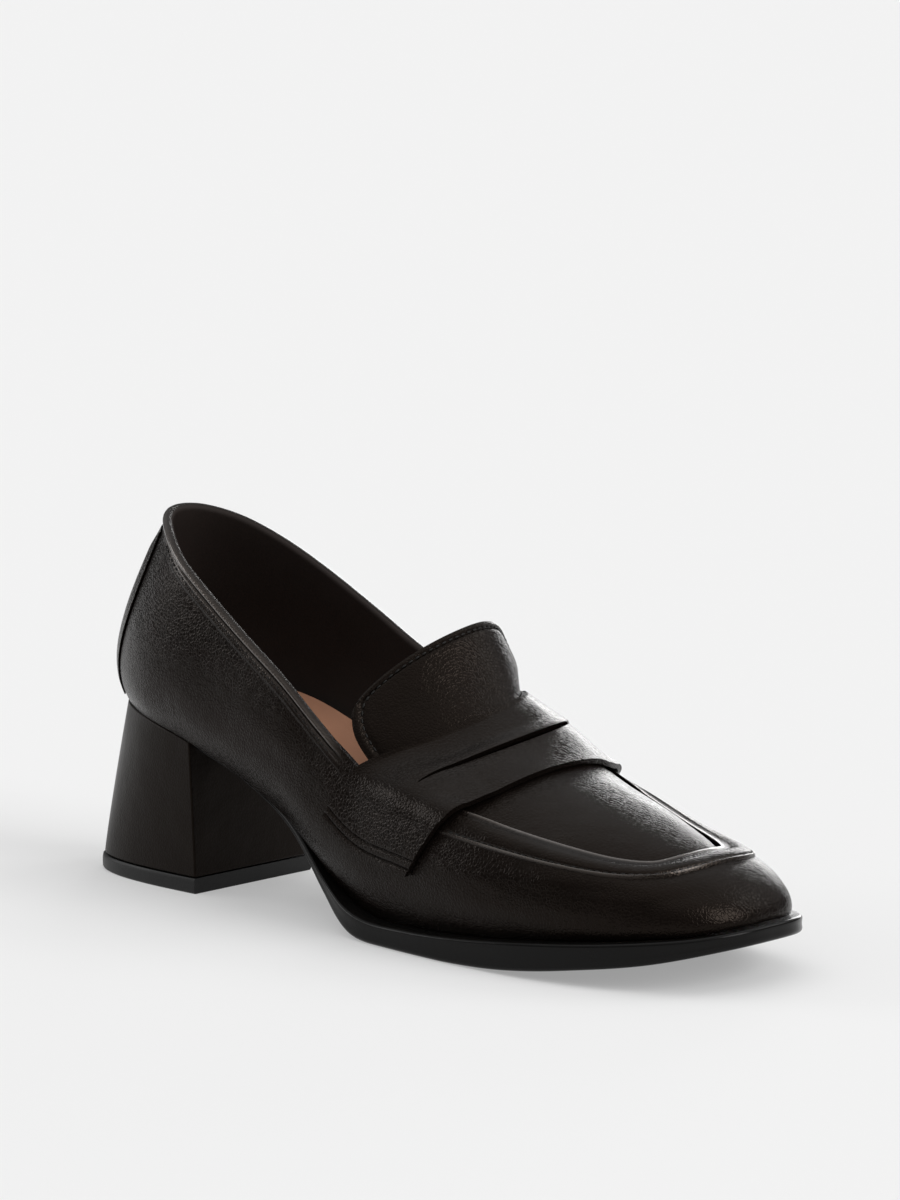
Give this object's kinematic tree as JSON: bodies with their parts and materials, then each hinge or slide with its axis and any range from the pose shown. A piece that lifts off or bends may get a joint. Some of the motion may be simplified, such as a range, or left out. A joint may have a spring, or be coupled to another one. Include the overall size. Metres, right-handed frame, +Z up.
{
  "type": "loafer pump",
  "caption": "Women's black leather loafer pump: moccasin plug with saddle strap, tongue, low-cut collar, thin sole and covered block heel.",
  "frame": {"origin": "on the floor, under the middle of the shoe's bounding box", "axes": "+X towards the toe, +Y towards the wearer's left (inner) side, +Z up"},
  "size_m": [0.2538, 0.0792, 0.1116],
  "materials": {
    "black_leather": "smooth black calf leather with fine grain and a soft satin sheen",
    "heel_cover": "smooth black leather stretched over the heel, satin",
    "sole_rubber": "black sole with a polished edge and a matt tread",
    "top_piece_rubber": "black moulded rubber, semi-matt",
    "sock_leather": "tan lining leather, matt"
  },
  "bodies": {
    "root": {"outsole": "sole_rubber", "heel_block": "heel_cover", "top_piece": "top_piece_rubber", "upper": "black_leather", "tongue": "black_leather", "saddle_strap": "black_leather", "backstay": "black_leather", "insole": "sock_leather"}
  },
  "joints": []
}
